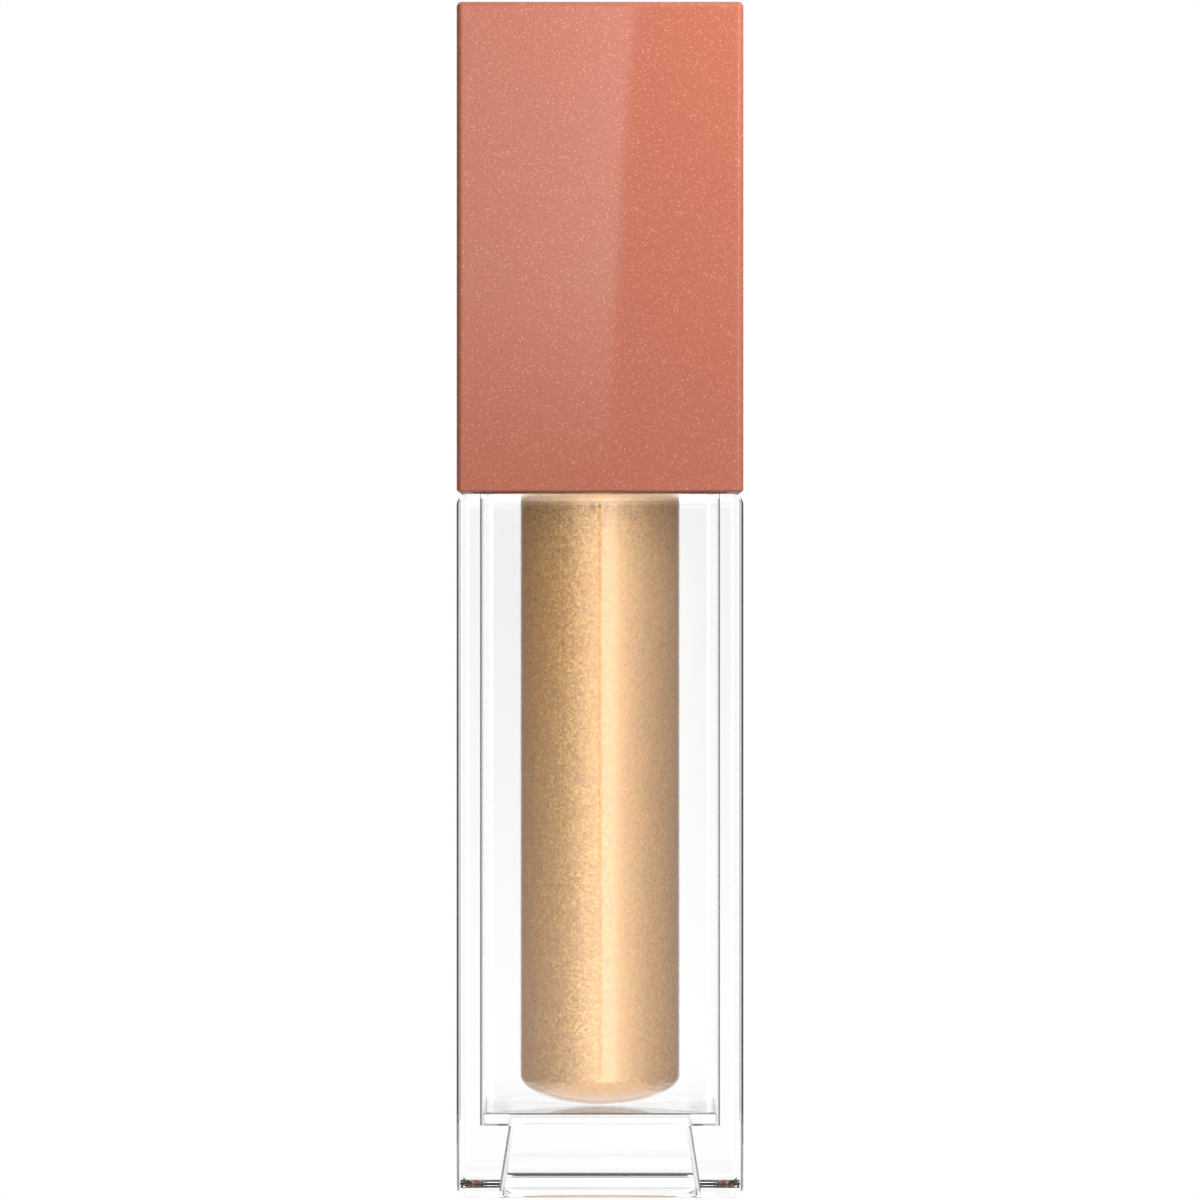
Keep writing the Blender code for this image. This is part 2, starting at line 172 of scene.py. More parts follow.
LEDGE_TOP = 5.25 * MM
LEDGE_REACH = 2.1 * MM
LEDGE_REACH_AT_FOOT = 1.2 * MM
SLEEVE_BORE_CORNER = 0.45 * MM
ledge_gap = bore_half - LEDGE_REACH
foot_gap = bore_half - LEDGE_REACH_AT_FOOT

sleeve_outside = np.concatenate([
    arc(half_width - SLEEVE_RIM, SLEEVE_RIM, SLEEVE_RIM, -90, 0),
    arc(half_width - SLEEVE_RIM, bottle_top - SLEEVE_RIM, SLEEVE_RIM, 0, 90),
])
sleeve_bore = np.concatenate([
    arc(bore_half + SLEEVE_LIP, bottle_top - SLEEVE_LIP, SLEEVE_LIP, 90, 180, 3),
    [[bore_half, LEDGE_TOP]],
])
ledge_out = np.array([ledge_gap + SLEEVE_LIP, ledge_gap, foot_gap - SLEEVE_LIP, foot_gap])
ledge_up = np.array([LEDGE_TOP, LEDGE_TOP - SLEEVE_LIP, SLEEVE_LIP, 0.0])
sleeve_out = np.concatenate([sleeve_outside[:, 0], sleeve_bore[:, 0], ledge_out])
sleeve_deep = np.concatenate([sleeve_outside[:, 0], sleeve_bore[:, 0],
                              [bore_half, bore_half, bore_half, bore_half + SLEEVE_LIP]])
sleeve_up = np.concatenate([sleeve_outside[:, 1], sleeve_bore[:, 1], ledge_up])
sleeve_corner = np.maximum(SLEEVE_UPRIGHT - (half_width - sleeve_out), SLEEVE_LEAST_CORNER)
sleeve_corner[len(sleeve_outside):] = SLEEVE_BORE_CORNER
clear_sleeve = clear_plastic("clear sleeve", SLEEVE_INDEX)
x, y = rounded_square(sleeve_out, sleeve_corner, deep=sleeve_deep)
skin("clear_outer_sleeve", x, y, sleeve_up[:, None], clear_sleeve, "bottle",
     ["outer_sleeve"])


# --- Base plug --------------------------------------------------------------------------------
# A thin square plate in the same clear plastic, pressed up inside the sleeve. Its two feet stand
# on the sleeve's ledges, and the air left in those joints shows as two short dark lines.

plug_low, plug_high = corners("base_plug")
PLUG_PLATE = 0.35 * MM
PLUG_EDGE = 0.1 * MM
PLUG_CENTRE = 0.2 * MM
FOOT_CORNER = 0.02 * MM
plug_half = plug_high[0]
plate_bottom = plug_high[2] - PLUG_PLATE
plug_outside = np.concatenate([
    [[PLUG_CENTRE, plug_high[2]]],
    arc(plug_half - PLUG_EDGE, plug_high[2] - PLUG_EDGE, PLUG_EDGE, 90, 0, 4),
    arc(plug_half - PLUG_EDGE, plug_low[2] + PLUG_EDGE, PLUG_EDGE, 0, -90, 4),
])
between = np.array([ledge_gap, ledge_gap, PLUG_CENTRE])
between_up = np.array([plug_low[2], plate_bottom, plate_bottom])
plug_out = np.concatenate([plug_outside[:, 0], between])
plug_deep = np.concatenate([plug_outside[:, 0], [plug_half - PLUG_EDGE, plug_half - PLUG_EDGE,
                                                 PLUG_CENTRE]])
plug_up = np.concatenate([plug_outside[:, 1], between_up])
plug_corner = np.minimum(SLEEVE_BORE_CORNER, plug_out * CORNER_SHARE)
plug_corner[len(plug_outside):-1] = FOOT_CORNER
x, y = rounded_square(plug_out, plug_corner, deep=plug_deep)
skin("clear_base_plug", x, y, plug_up[:, None], clear_sleeve, "bottle",
     ["base_plug"], ring_closed=False)


# --- Inner vial -------------------------------------------------------------------------------
# The bottle proper: a round thin-walled vial with a domed foot, blown with a square plate that
# closes the sleeve's top and a neck whose raised right-hand thread the cap screws onto.

ROUND = 192
THREAD_FADE = 0.08
around = np.linspace(0, 2 * math.pi, ROUND, endpoint=False)


def square_reach(half, blunt=1.36):
    """Distance from the axis to a square's side in each direction, with its corners cut short."""
    side = half / np.maximum(np.abs(np.cos(around)), np.abs(np.sin(around)))
    return np.minimum(side, half * blunt)


def turned(profile, squares=()):
    """Rings of x, y and z for a profile of (radius, height), turned about Z. The rows named in
    squares take a square outline of that half width in place of a circle."""
    radius = np.repeat(profile[:, :1], ROUND, 1)
    for row in squares:
        radius[row] = square_reach(profile[row, 0])
    height = np.repeat(profile[:, 1:], ROUND, 1)
    return radius, height


def turned_skin(name, radius, height, material, body, nodes, ring_closed=True):
    """A skin through rings given by radius and height for each direction about Z."""
    return skin(name, radius * np.cos(around), radius * np.sin(around), height,
                material, body, nodes, ring_closed)


def domed_end(radius, bottom, depth, steps=28):
    """A quarter ellipse from the side of a tube down to just short of the axis."""
    angle = np.linspace(0, math.pi / 2, steps + 1)[:-1]
    return np.stack([radius * np.cos(angle), bottom + depth * (1 - np.sin(angle))], 1)


def helix_offset(height, start, turns, pitch):
    """Height above the nearest turn of a right-handed helix, start + pitch * (turn + angle / 2 pi),
    and a fade to nothing at its ends."""
    turn = (height - start) / pitch - around / (2 * math.pi)
    nearest = np.clip(np.round(turn), 0, None)
    along = nearest + around / (2 * math.pi)
    fade = np.clip(along / THREAD_FADE, 0, 1) * np.clip((turns - along) / THREAD_FADE, 0, 1)
    return (turn - nearest) * pitch, fade


vial_low, vial_high = corners("inner_vial")
VIAL_RADIUS = 5.95 * MM
VIAL_WALL = 0.8 * MM
VIAL_FLOOR = 0.4 * MM
DOME_DEPTH = 2.2 * MM
PLATE = 0.5 * MM
NECK_RADIUS = 6.32 * MM
NECK_RIM = 0.2 * MM
NECK_STEP = 0.05 * MM
NECK_ROWS = 110
COLLAR_RADIUS = 7.12 * MM
COLLAR_HEIGHT = 0.8 * MM
THREAD_PITCH = 2.6 * MM
THREAD_TURNS = 1.8
THREAD_RISE = 4.0 * MM
THREAD_CREST = 0.6 * MM
THREAD_HALF = 0.62 * MM
VIAL_INDEX = 1.5
vial_bore = VIAL_RADIUS - VIAL_WALL
vial_floor = vial_low[2] + VIAL_FLOOR
plate_top = bottle_top - FIT_GAP
plate_half = bore_half - FIT_GAP
neck_top = vial_high[2]
thread_start = bottle_top + THREAD_RISE

neck_rim = arc(NECK_RADIUS - NECK_RIM, neck_top - NECK_RIM, NECK_RIM, 90, 0, 4)
neck_up = np.linspace(neck_top - NECK_RIM - NECK_STEP, plate_top + COLLAR_HEIGHT + NECK_STEP, NECK_ROWS)
collar = arc(COLLAR_RADIUS - SOFT_EDGE, plate_top + COLLAR_HEIGHT - SOFT_EDGE, SOFT_EDGE, 90, 0, 3)
outside = np.concatenate([
    neck_rim,
    np.stack([np.full(NECK_ROWS, NECK_RADIUS), neck_up], 1),
    collar,
    [[COLLAR_RADIUS, plate_top],
     [plate_half, plate_top],
     [plate_half, plate_top - PLATE],
     [VIAL_RADIUS + SOFT_EDGE, plate_top - PLATE]],
    arc(VIAL_RADIUS + SOFT_EDGE, plate_top - PLATE - SOFT_EDGE, SOFT_EDGE, 90, 180, 3)[1:],
    domed_end(VIAL_RADIUS, vial_low[2], DOME_DEPTH),
])
inside = np.concatenate([
    [[vial_bore, neck_top]],
    domed_end(vial_bore, vial_floor, DOME_DEPTH - VIAL_FLOOR),
])[::-1]
threaded = slice(len(neck_rim), len(neck_rim) + NECK_ROWS)
plate_row = threaded.stop + len(collar) + 1
outer_radius, outer_height = turned(outside, [plate_row, plate_row + 1])
offset, fade = helix_offset(outer_height[threaded], thread_start, THREAD_TURNS, THREAD_PITCH)
ridge = np.clip(1 - (offset / THREAD_HALF) ** 2, 0, None)
outer_radius[threaded] += THREAD_CREST * fade * np.sqrt(ridge)
inner_radius, inner_height = turned(inside)
vial_plastic = clear_plastic("clear vial", VIAL_INDEX)
turned_skin(
    "clear_inner_vial",
    np.concatenate([outer_radius, np.full((2, ROUND), NEAR_AXIS), inner_radius]),
    np.concatenate([outer_height, np.full((1, ROUND), vial_low[2]),
                    np.full((1, ROUND), vial_floor), inner_height]),
    vial_plastic, "bottle", ["inner_vial"],
)


# --- Gloss ------------------------------------------------------------------------------------
# A thick gold gel full of fine mica flakes. It wets the vial's wall, so it fills the vial right
# out to the plastic, and the wand stands in a well down its middle.

def cells_of(nodes, links, scale):
    """Voronoi cells on Object coordinates, with scale in cells per metre."""
    place = nodes.new("ShaderNodeTexCoord")
    cells = nodes.new("ShaderNodeTexVoronoi")
    cells.inputs["Scale"].default_value = scale
    links.new(place.outputs["Object"], cells.inputs["Vector"])
    return cells


def set_stops(ramp, stops):
    """Give a colour ramp its stops of (position, colour), in rising order of position."""
    while len(ramp.elements) < len(stops):
        ramp.elements.new(0.5)
    for element, (position, colour) in zip(ramp.elements, stops):
        element.position = position
        element.color = (*colour, 1.0)


def colour_by(nodes, links, shader, value, stops):
    """Set the base colour by a value from 0 to 1, through stops of (position, colour)."""
    tone = nodes.new("ShaderNodeValToRGB")
    set_stops(tone.color_ramp, stops)
    links.new(value, tone.inputs["Fac"])
    links.new(tone.outputs["Color"], shader.inputs["Base Color"])


def colour_flakes(nodes, links, shader, cells, stops):
    """One base colour a flake: the red of its cell's random colour picks it from the stops."""
    channels = nodes.new("ShaderNodeSeparateColor")
    links.new(cells.outputs["Color"], channels.inputs["Color"])
    colour_by(nodes, links, shader, channels.outputs["Red"], stops)


def tilt_flakes(nodes, links, shader, cell_colour, spread):
    """Tilt each flake its own way: the surface normal plus the cell's colour less a half, times
    the spread."""
    centred = nodes.new("ShaderNodeVectorMath")
    centred.operation = "SUBTRACT"
    centred.inputs[1].default_value = (0.5, 0.5, 0.5)
    links.new(cell_colour, centred.inputs[0])
    tilted = nodes.new("ShaderNodeVectorMath")
    tilted.operation = "MULTIPLY_ADD"
    tilted.inputs[1].default_value = (spread, spread, spread)
    links.new(centred.outputs["Vector"], tilted.inputs[0])
    surface = nodes.new("ShaderNodeNewGeometry")
    links.new(surface.outputs["Normal"], tilted.inputs[2])
    unit = nodes.new("ShaderNodeVectorMath")
    unit.operation = "NORMALIZE"
    links.new(tilted.outputs["Vector"], unit.inputs[0])
    links.new(unit.outputs["Vector"], shader.inputs["Normal"])


_, gloss_high = corners("gloss_fill")
WET = 0.03 * MM
WELL_RADIUS = 2.75 * MM
WELL_FLOOR = 2.3 * MM
gloss_radius = vial_bore + WET
gloss_profile = np.concatenate([
    [[NEAR_AXIS, vial_floor + WELL_FLOOR], [WELL_RADIUS, vial_floor + WELL_FLOOR],
     [WELL_RADIUS, gloss_high[2]], [gloss_radius, gloss_high[2]]],
    domed_end(gloss_radius, vial_floor - WET, DOME_DEPTH - VIAL_FLOOR),
    [[NEAR_AXIS, vial_floor - WET]],
])

gold_gloss, nodes, links, shader = new_material("gold gloss")
flakes = cells_of(nodes, links, 7800.0)
colour_flakes(nodes, links, shader, flakes, [
    (0.0, (0.92, 0.50, 0.17)), (0.70, (0.98, 0.56, 0.20)), (0.80, (1.0, 0.70, 0.21)),
])
shader.inputs["Metallic"].default_value = 0.8
shader.inputs["Roughness"].default_value = 0.46
shader.inputs["Coat Weight"].default_value = 0.7
shader.inputs["Coat Roughness"].default_value = 0.32
shader.inputs["Coat IOR"].default_value = 2.1
shader.inputs["Coat Tint"].default_value = (1.0, 0.86, 0.62, 1.0)
tilt_flakes(nodes, links, shader, flakes.outputs["Color"], 0.3)

radius, height = turned(gloss_profile)
turned_skin("gold_gloss", radius, height, gold_gloss, "bottle", ["gloss_fill"],
            ring_closed=False)


# --- Wiper ------------------------------------------------------------------------------------
# A soft sleeve in natural plastic, pushed into the neck until its flange meets the rim. Its
# funnel narrows to the hole that strips spare gloss from the wand.

def add_noise(nodes, links, scale, detail=2.0):
    """Noise on Object coordinates, with scale in cycles per metre."""
    place = nodes.new("ShaderNodeTexCoord")
    noise = nodes.new("ShaderNodeTexNoise")
    noise.inputs["Scale"].default_value = scale
    noise.inputs["Detail"].default_value = detail
    links.new(place.outputs["Object"], noise.inputs["Vector"])
    return noise


def add_bump(nodes, links, shader, height, strength, distance):
    """Bend the shader's normal by a height, whose full step stands for the distance."""
    bump = nodes.new("ShaderNodeBump")
    bump.inputs["Strength"].default_value = strength
    bump.inputs["Distance"].default_value = distance
    links.new(height, bump.inputs["Height"])
    links.new(bump.outputs["Normal"], shader.inputs["Normal"])


wiper_low, wiper_high = corners("wiper")
WIPER_WALL = 0.8 * MM
WIPER_FLANGE = 0.8 * MM
ORIFICE_LIP = 0.9 * MM
ORIFICE_RADIUS = 2.75 * MM
MOUTH_EDGE = 0.25 * MM
wiper_radius = vial_bore - FIT_GAP
wiper_inside = wiper_radius - WIPER_WALL
flange_radius = wiper_high[0]
lip_top = wiper_low[2] + ORIFICE_LIP
wiper_profile = np.concatenate([
    arc(flange_radius - SOFT_EDGE, wiper_high[2] - SOFT_EDGE, SOFT_EDGE, 90, 0, 3),
    arc(flange_radius - SOFT_EDGE, wiper_high[2] - WIPER_FLANGE + SOFT_EDGE, SOFT_EDGE, 0, -90, 3),
    [[wiper_radius, wiper_high[2] - WIPER_FLANGE],
     [wiper_radius, lip_top],
     [ORIFICE_RADIUS + WIPER_WALL, wiper_low[2]]],
    arc(ORIFICE_RADIUS + SOFT_EDGE, wiper_low[2] + SOFT_EDGE, SOFT_EDGE, 270, 180, 3),
    [[ORIFICE_RADIUS, lip_top],
     [wiper_inside, lip_top + wiper_inside - ORIFICE_RADIUS]],
    arc(wiper_inside + MOUTH_EDGE, wiper_high[2] - MOUTH_EDGE, MOUTH_EDGE, 180, 90, 4),
])
natural_plastic, nodes, links, shader = new_material("natural soft plastic")
shader.inputs["Base Color"].default_value = (0.84, 0.85, 0.84, 1.0)
shader.inputs["Roughness"].default_value = 0.38
shader.inputs["Subsurface Weight"].default_value = 0.3
shader.inputs["Subsurface Radius"].default_value = (0.002, 0.002, 0.002)
shader.inputs["Subsurface Scale"].default_value = 1.0
noise = add_noise(nodes, links, 900.0, 4.0)
add_bump(nodes, links, shader, noise.outputs["Fac"], 0.2, 0.05 * MM)
radius, height = turned(wiper_profile)
turned_skin("neck_wiper", radius, height, natural_plastic, "bottle", ["wiper"])


# --- Neck seal --------------------------------------------------------------------------------
# A washer punched from white closed-cell foam. It sits under the liner's web, round the wand,
# and is squeezed onto the wiper's flange when the cap is screwed home.

seal_low, seal_high = corners("neck_seal")
SEAL_HOLE = 2.0 * MM
SEAL_EDGE = 0.1 * MM
seal_radius = seal_high[0]
seal_profile = np.concatenate([
    arc(seal_radius - SEAL_EDGE, seal_high[2] - SEAL_EDGE, SEAL_EDGE, 90, 0, 3),
    arc(seal_radius - SEAL_EDGE, seal_low[2] + SEAL_EDGE, SEAL_EDGE, 0, -90, 3),
    arc(SEAL_HOLE + SEAL_EDGE, seal_low[2] + SEAL_EDGE, SEAL_EDGE, 270, 180, 3),
    arc(SEAL_HOLE + SEAL_EDGE, seal_high[2] - SEAL_EDGE, SEAL_EDGE, 180, 90, 3),
])
foam, nodes, links, shader = new_material("white foam")
shader.inputs["Roughness"].default_value = 0.8
cells = cells_of(nodes, links, 4000.0)
colour_by(nodes, links, shader, cells.outputs["Distance"],
          [(0.0, (0.90, 0.90, 0.88)), (1.0, (0.70, 0.70, 0.68))])
add_bump(nodes, links, shader, cells.outputs["Distance"], 0.4, 0.08 * MM)
radius, height = turned(seal_profile)
turned_skin("foam_neck_seal", radius, height, foam, "seal", ["neck_seal"])


# --- Cap shell --------------------------------------------------------------------------------
# A tall square cap moulded in plastic, then coated in rose-gold lacquer with fine metal flakes
# and a clear topcoat, which gives the sharp reflection over the soft metallic colour.

cap_low, cap_high = corners("cap_shell")
CAP_WALL = 1.1 * MM
CAP_UPRIGHT = 0.45 * MM
CAP_TOP_EDGE = 0.37 * MM
CAP_RIM = 0.22 * MM
CAP_INSIDE = 0.2 * MM
CAP_LEAST_CORNER = 0.08 * MM
CAP_CENTRE = 0.3 * MM
cap_half = cap_high[0]
cap_bore = cap_half - CAP_WALL
cap_ceiling = cap_high[2] - CAP_WALL
cap_outside = np.concatenate([
    [[CAP_CENTRE, cap_high[2]]],
    arc(cap_half - CAP_TOP_EDGE, cap_high[2] - CAP_TOP_EDGE, CAP_TOP_EDGE, 90, 0),
    arc(cap_half - CAP_RIM, cap_low[2] + CAP_RIM, CAP_RIM, 0, -90, 6),
])
cap_inside = np.concatenate([
    arc(cap_bore + CAP_RIM / 2, cap_low[2] + CAP_RIM / 2, CAP_RIM / 2, 270, 180, 3),
    arc(cap_bore - CAP_INSIDE, cap_ceiling - CAP_INSIDE, CAP_INSIDE, 0, 90, 4),
    [[CAP_CENTRE, cap_ceiling]],
])
cap_out, cap_up = np.concatenate([cap_outside, cap_inside]).T
cap_corner = np.maximum(CAP_UPRIGHT - (cap_half - cap_out), CAP_LEAST_CORNER)
cap_corner[len(cap_outside):] = CAP_INSIDE
cap_corner = np.minimum(cap_corner, cap_out * CORNER_SHARE)

rose_gold, nodes, links, shader = new_material("rose-gold lacquer")
sparkle = cells_of(nodes, links, 10500.0)
colour_flakes(nodes, links, shader, sparkle, [
    (0.0, (0.56, 0.165, 0.098)), (0.88, (0.62, 0.19, 0.115)), (1.0, (0.80, 0.30, 0.195)),
])
shader.inputs["Metallic"].default_value = 0.3
shader.inputs["Roughness"].default_value = 0.42
shader.inputs["Coat Weight"].default_value = 1.0
shader.inputs["Coat Roughness"].default_value = 0.03
shader.inputs["Coat IOR"].default_value = 1.5
x, y = rounded_square(cap_out, cap_corner)
skin("rose_gold_cap", x, y, cap_up[:, None], rose_gold, "cap", ["cap_shell"],
     ring_closed=False)


# --- Inner cap --------------------------------------------------------------------------------
# The cap's liner, a plain moulding snapped into the shell: a threaded socket for the neck with
# hollowed corners, a web that squeezes the seal, and above it a boss that grips the wand.

liner_low, liner_high = corners("inner_cap")
LINER_WALL = 1.0 * MM
LINER_WEB = 1.5 * MM
LINER_EDGE = 0.2 * MM
POCKET_DEPTH = 8.0 * MM
POCKET_LEAST = 0.2 * MM
THREAD_CLEARANCE = 0.3 * MM
SOCKET_WALL = 1.3 * MM
SOCKET_MOUTH = 0.3 * MM
SOCKET_ROWS = 90
GROOVE = 0.5 * MM
BOSS_LENGTH = 12.5 * MM
BOSS_WALL = 1.3 * MM
BOSS_MOUTH = 0.3 * MM
BOSS_EDGE = 0.2 * MM
BOSS_FILLET = 0.4 * MM
HEAD_BORE = 2.3 * MM
COLLAR_BORE = 3.1 * MM
COLLAR_DEPTH = 0.9 * MM
liner_half = liner_high[0]
liner_inside = liner_half - LINER_WALL
socket_radius = NECK_RADIUS + THREAD_CREST + THREAD_CLEARANCE
pocket_radius = socket_radius + SOCKET_WALL
web_bottom = seal_high[2] + FIT_GAP
web_top = web_bottom + LINER_WEB
boss_top = web_top + BOSS_LENGTH
boss_radius = HEAD_BORE + BOSS_WALL

liner_foot = [
    [liner_half - LINER_EDGE, liner_high[2]], [liner_half, liner_high[2] - LINER_EDGE],
    [liner_half, liner_low[2] + LINER_EDGE], [liner_half - LINER_EDGE, liner_low[2]],
    [liner_inside, liner_low[2]], [liner_inside, liner_low[2]],
    [pocket_radius, liner_low[2]], [pocket_radius, liner_low[2]],
    [socket_radius + SOCKET_MOUTH, liner_low[2]],
]
socket_up = np.linspace(liner_low[2] + SOCKET_MOUTH, web_bottom - FIT_GAP, SOCKET_ROWS)
liner_profile = np.concatenate([
    liner_foot,
    np.stack([np.full(SOCKET_ROWS, socket_radius), socket_up], 1),
    [[socket_radius, web_bottom], [COLLAR_BORE, web_bottom],
     [COLLAR_BORE, web_bottom + COLLAR_DEPTH], [HEAD_BORE, web_bottom + COLLAR_DEPTH],
     [HEAD_BORE, boss_top - BOSS_MOUTH], [HEAD_BORE + BOSS_MOUTH, boss_top],
     [boss_radius - BOSS_EDGE, boss_top], [boss_radius, boss_top - BOSS_EDGE],
     [boss_radius, web_top + BOSS_FILLET], [boss_radius + BOSS_FILLET, web_top],
     [liner_inside, web_top], [liner_inside, liner_high[2]]],
])
square_rows = [0, 1, 2, 3, 4, 5, -2, -1]
pocket_wall, pocket_roof = slice(4, 6), slice(5, 7)
socket = slice(len(liner_foot), len(liner_foot) + SOCKET_ROWS)
radius, height = turned(liner_profile, square_rows)
pocket_reach = np.maximum(square_reach(liner_inside), pocket_radius)
pocket_depth = np.where(pocket_reach > pocket_radius + POCKET_LEAST, POCKET_DEPTH, 0.0)
radius[pocket_wall] = np.where(pocket_depth > 0, pocket_reach, pocket_radius)
height[pocket_roof] = liner_low[2] + pocket_depth
offset, fade = helix_offset(height[socket], thread_start, THREAD_TURNS, THREAD_PITCH)
radius[socket] += GROOVE * fade * np.sqrt(np.clip(1 - (offset / GROOVE) ** 2, 0, None))

liner_plastic, nodes, links, shader = new_material("plain liner plastic")
noise = add_noise(nodes, links, 700.0, 5.0)
colour_by(nodes, links, shader, noise.outputs["Fac"],
          [(0.0, (0.74, 0.72, 0.69)), (1.0, (0.82, 0.80, 0.77))])
shader.inputs["Roughness"].default_value = 0.45
add_bump(nodes, links, shader, noise.outputs["Fac"], 0.15, 0.05 * MM)
turned_skin("liner_inner_cap", radius, height, liner_plastic, "cap", ["inner_cap"])


# --- Wand stem --------------------------------------------------------------------------------
# A white moulded rod. Its knurled head is pressed into the boss up to a collar, and its lower
# end is bored for the applicator's shank.

stem_low, stem_high = corners("wand_stem")
STEM_RADIUS = 1.7 * MM
HEAD_RADIUS = 2.2 * MM
COLLAR_REACH = 3.0 * MM
COLLAR_THICK = 0.8 * MM
SHANK_BORE = 1.0 * MM
SHANK_DEPTH = 5.0 * MM
KNURL = 0.06 * MM
KNURLS = 24
HEAD_CHAMFER = 0.4 * MM
STEM_FILLET = 0.3 * MM
STEM_END = 0.2 * MM
collar_top = web_bottom + COLLAR_THICK
stem_profile = np.concatenate([
    [[NEAR_AXIS, stem_high[2]], [HEAD_RADIUS - HEAD_CHAMFER, stem_high[2]],
     [HEAD_RADIUS, stem_high[2] - HEAD_CHAMFER], [HEAD_RADIUS, collar_top + HEAD_CHAMFER],
     [HEAD_RADIUS, collar_top]],
    arc(COLLAR_REACH - SOFT_EDGE, collar_top - SOFT_EDGE, SOFT_EDGE, 90, 0, 3),
    arc(COLLAR_REACH - SOFT_EDGE, web_bottom + SOFT_EDGE, SOFT_EDGE, 0, -90, 3),
    arc(STEM_RADIUS + STEM_FILLET, web_bottom - STEM_FILLET, STEM_FILLET, 90, 180, 4),
    arc(STEM_RADIUS - STEM_END, stem_low[2] + STEM_END, STEM_END, 0, -90, 4),
    [[SHANK_BORE, stem_low[2]], [SHANK_BORE, stem_low[2] + SHANK_DEPTH],
     [NEAR_AXIS, stem_low[2] + SHANK_DEPTH]],
])
radius, height = turned(stem_profile)
knurled = slice(2, 4)
radius[knurled] -= KNURL * (0.5 + 0.5 * np.cos(KNURLS * around))
white_plastic, nodes, links, shader = new_material("white wand plastic")
noise = add_noise(nodes, links, 500.0, 3.0)
colour_by(nodes, links, shader, noise.outputs["Fac"],
          [(0.0, (0.62, 0.62, 0.60)), (1.0, (0.70, 0.70, 0.68))])
shader.inputs["Roughness"].default_value = 0.28
add_bump(nodes, links, shader, noise.outputs["Fac"], 0.1, 0.05 * MM)
turned_skin("white_wand_stem", radius, height, white_plastic, "cap", ["wand_stem"],
            ring_closed=False)


# --- Applicator -------------------------------------------------------------------------------
# A plastic core plugged into the stem, under a sleeve of short flock shaped as a doe's foot:
# a flattened bullet cut to a slant on one side, wet with gloss.

_, core_high = corners("applicator_core")
flock_low, flock_high = corners("applicator_flock")
FLOCK_HALF_WIDTH = 2.45 * MM
FLOCK_HALF_DEPTH = 1.75 * MM
BULLET_HALF = 9.61 * MM
APPLICATOR_LENGTH = 15.5 * MM
SLANT = math.radians(14)
SLANT_DEPTH_SHARE = 0.45
LEAST_SWELL = 0.0004
flock_top = flock_high[2]
tip_bottom = flock_top - APPLICATOR_LENGTH


def bullet(grow, bottom, top, steps=70):
    """Rings up a flattened bullet, an ellipsoid grown all over by grow, pressed flat where it
    would pass the slanting plane on its -Y side."""
    middle = tip_bottom + BULLET_HALF
    spread = np.sin(np.linspace(-math.pi / 2, math.pi / 2, steps)) * 0.5 + 0.5
    height = (bottom + (top - bottom) * spread)[:, None]
    swell = np.sqrt(np.clip(1 - ((height - middle) / (BULLET_HALF + grow)) ** 2, LEAST_SWELL, None))
    x = (FLOCK_HALF_WIDTH + grow) * swell * np.cos(around)
    y = (FLOCK_HALF_DEPTH + grow) * swell * np.sin(around)
    reach = FLOCK_HALF_DEPTH * SLANT_DEPTH_SHARE + grow
    above_middle = height - tip_bottom - APPLICATOR_LENGTH / 2
    plane = -(reach + above_middle * math.sin(SLANT)) / math.cos(SLANT)
    return x, np.maximum(y, plane), height


FLOCK_WALL = 0.6 * MM
TIP_SOLID = 3.2 * MM
END_INSET = 0.02 * MM
SHANK_RADIUS = 0.9 * MM
pocket_floor = tip_bottom + FLOCK_WALL + TIP_SOLID
x_out, y_out, z_out = bullet(0.0, flock_low[2] + END_INSET, flock_top)
x_in, y_in, z_in = bullet(-FLOCK_WALL, pocket_floor, flock_top)
flock, nodes, links, shader = new_material("gloss-wet flock")
fibre = add_noise(nodes, links, 9000.0, 3.0)
colour_by(nodes, links, shader, fibre.outputs["Fac"],
          [(0.35, (0.24, 0.115, 0.04)), (0.65, (0.60, 0.36, 0.16))])
shader.inputs["Roughness"].default_value = 0.7
shader.inputs["Sheen Weight"].default_value = 0.25
shader.inputs["Sheen Roughness"].default_value = 0.4
shader.inputs["Coat Weight"].default_value = 0.35
shader.inputs["Coat Roughness"].default_value = 0.25
add_bump(nodes, links, shader, fibre.outputs["Fac"], 0.8, 0.12 * MM)
skin("flocked_applicator",
     np.concatenate([x_out, x_in[::-1]]),
     np.concatenate([y_out, y_in[::-1]]),
     np.concatenate([np.repeat(z_out, ROUND, 1), np.repeat(z_in[::-1], ROUND, 1)]),
     flock, "cap", ["applicator_flock"], ring_closed=False)

x_core, y_core, z_core = bullet(-FLOCK_WALL - FIT_GAP, pocket_floor + FIT_GAP, flock_top)
shank_heights = np.array([[flock_top + END_INSET], [core_high[2]]])
skin("applicator_core_plug",
     np.concatenate([x_core, np.repeat([SHANK_RADIUS * np.cos(around)], 2, 0)]),
     np.concatenate([y_core, np.repeat([SHANK_RADIUS * np.sin(around)], 2, 0)]),
     np.repeat(np.concatenate([z_core, shank_heights]), ROUND, 1),
     white_plastic, "cap", ["applicator_core"], ring_closed=False)


# --- Studio -----------------------------------------------------------------------------------
# An even white table and surround, three small soft lights, and a card behind the camera that
# holds a tall softbox, whose edge shows in the cap's topcoat.

def glow(name):
    """A material that only gives out white light: returns it with its nodes, links and emission."""
    material = bpy.data.materials.new(name)
    material.use_nodes = True
    nodes = material.node_tree.nodes
    nodes.clear()
    emission = nodes.new("ShaderNodeEmission")
    emission.inputs["Color"].default_value = (1.0, 1.0, 1.0, 1.0)
    emission.inputs["Strength"].default_value = 1.0
    output = nodes.new("ShaderNodeOutputMaterial")
    material.node_tree.links.new(emission.outputs["Emission"], output.inputs["Surface"])
    return material, nodes, material.node_tree.links, emission


